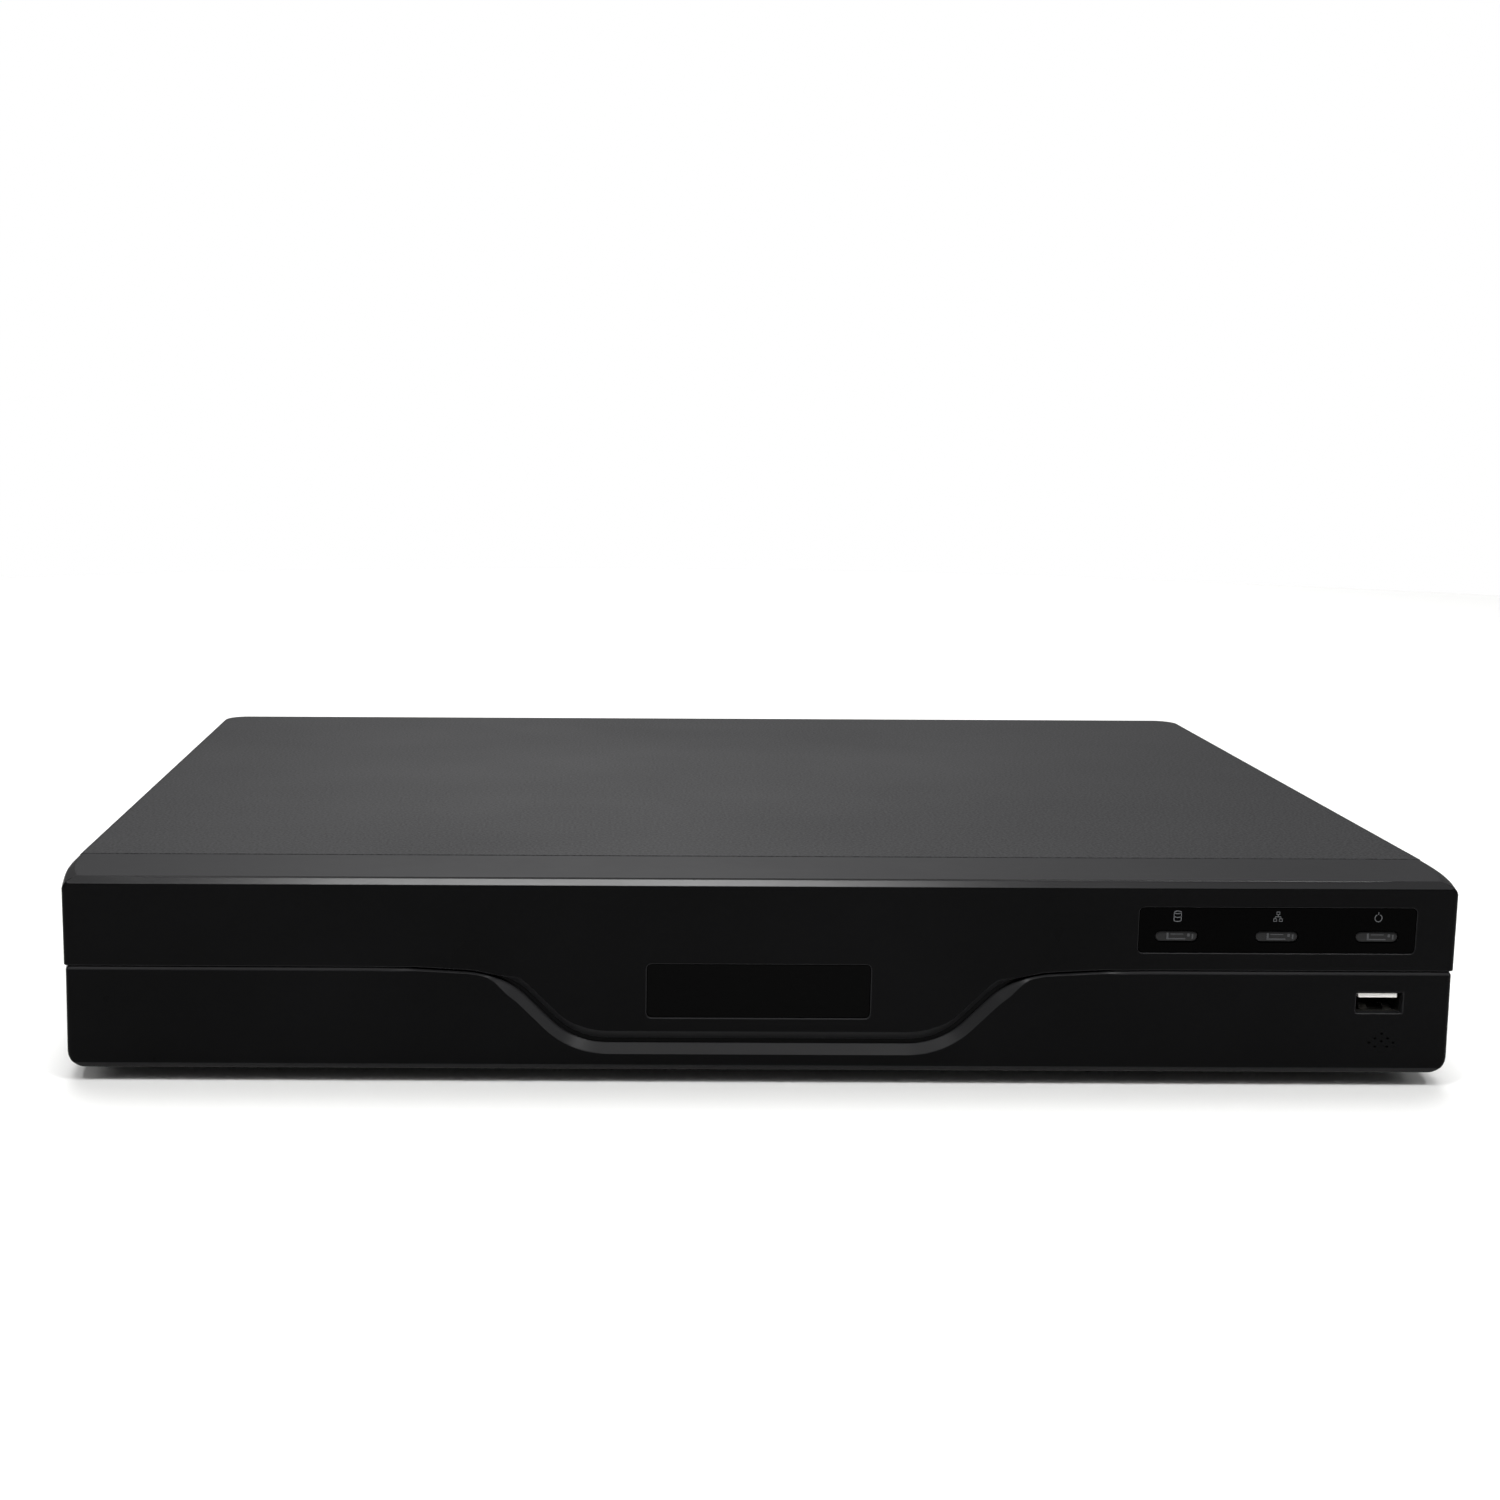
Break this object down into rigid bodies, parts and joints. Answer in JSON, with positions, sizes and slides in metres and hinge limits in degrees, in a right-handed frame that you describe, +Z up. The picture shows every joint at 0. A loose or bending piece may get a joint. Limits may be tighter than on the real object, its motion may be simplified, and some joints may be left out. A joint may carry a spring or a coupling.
{
  "type": "video recorder",
  "caption": "Low black desktop video recorder: steel case, two-piece bezel with indicator window and front USB port, and a rear panel of video, audio, network and power sockets.",
  "frame": {"origin": "centre of the bounding box at the feet's undersides", "axes": "+X to the right as seen from the front, -Y out of the front bezel, +Z up"},
  "size_m": [0.3776, 0.2926, 0.056],
  "materials": {
    "cover_steel": "fine textured satin powder coat",
    "plated_steel": "zinc plated sheet",
    "screw_steel": "zinc plated",
    "bezel_plastic": "fine textured satin ABS",
    "badge_plastic": "satin, blank",
    "window_gloss": "polished smoke acrylic",
    "clear_pipe": "frosted clear acrylic",
    "led_chip": "moulded",
    "port_steel": "nickel plated sheet",
    "white_plastic": "moulded",
    "black_plastic": "moulded",
    "blue_plastic": "moulded",
    "green_plastic": "moulded",
    "gold_contact": "gold flash",
    "brass": "turned",
    "board_laminate": "solder mask",
    "chip_plastic": "moulded epoxy",
    "sink_aluminium": "anodised",
    "can_aluminium": "sleeved can",
    "cell_steel": "nickel plated",
    "cast_aluminium": "die cast",
    "lid_steel": "brushed sheet",
    "platter_mirror": "polished",
    "ribbon_grey": "flat cable",
    "cable_red": "flat cable",
    "cable_black": "wires",
    "foot_rubber": "moulded",
    "plated_wire": "bright plated wire"
  },
  "bodies": {
    "case": {"top_cover": "cover_steel", "cover_screws": "screw_steel", "base_tray": "plated_steel", "rear_panel": "cover_steel", "rubber_feet": "foot_rubber", "bezel_upper": "bezel_plastic", "bezel_lower": "bezel_plastic", "badge_plate": "badge_plastic", "led_window": "window_gloss", "light_pipes": "clear_pipe", "front_board": "board_laminate", "led_chips": "led_chip", "front_usb_shell": "port_steel", "front_usb_tongue": "white_plastic", "front_ribbon_cable": "ribbon_grey", "main_board": "board_laminate", "board_standoffs": "brass", "board_screws": "screw_steel", "processor": "chip_plastic", "heat_sink": "sink_aluminium", "memory_chips": "chip_plastic", "capacitors": "can_aluminium", "coin_cell": "cell_steel", "buzzer": "black_plastic", "bnc_housings": "black_plastic", "bnc_shells": "port_steel", "bnc_insulators": "white_plastic", "bnc_contacts": "gold_contact", "rca_housings": "black_plastic", "rca_shells": "port_steel", "rca_inserts": "white_plastic", "vga_shell": "port_steel", "vga_insert": "blue_plastic", "vga_jackscrews": "port_steel", "hdmi_shell": "port_steel", "hdmi_tongue": "black_plastic", "lan_shield": "port_steel", "lan_housing": "black_plastic", "rear_usb_shell": "port_steel", "rear_usb_tongues": "black_plastic", "dc_jack_body": "black_plastic", "dc_jack_pin": "port_steel", "switch_housing": "black_plastic", "terminal_socket": "green_plastic", "ground_screw": "brass", "fan_frame": "black_plastic", "fan_guard": "plated_wire", "fan_screws": "screw_steel", "drive_base": "cast_aluminium", "drive_lid": "lid_steel", "drive_board": "board_laminate", "drive_screws": "screw_steel", "drive_data_cable": "cable_red", "drive_power_cable": "cable_black"},
    "fan_rotor": {"fan_rotor": "black_plastic"},
    "power_rocker": {"switch_rocker": "black_plastic"},
    "plug": {"terminal_plug": "green_plastic", "terminal_screws": "screw_steel"},
    "platters": {"drive_platters": "platter_mirror"},
    "arm": {"drive_arm": "sink_aluminium"}
  },
  "joints": [
    {"name": "fan_spin", "type": "hinge", "parent": "case", "child": "fan_rotor", "pos_m": [0.153, 0.12835, 0.0257], "axis": [0, 1, 0], "continuous": true},
    {"name": "power_switch", "type": "hinge", "parent": "case", "child": "power_rocker", "pos_m": [0.119, 0.13175, 0.0385], "axis": [0, 0, -1], "range_deg": [0, 20]},
    {"name": "terminal_pull", "type": "slide", "parent": "case", "child": "plug", "axis": [0, 1, 0], "range_m": [0, 0.012]},
    {"name": "disk_spin", "type": "hinge", "parent": "case", "child": "platters", "pos_m": [-0.1127, -0.05035, 0.0183], "axis": [0, 0, 1], "continuous": true},
    {"name": "arm_swing", "type": "hinge", "parent": "case", "child": "arm", "pos_m": [-0.0847, 0.00065, 0.0183], "axis": [0, 0, 1], "range_deg": [0, 30]}
  ]
}
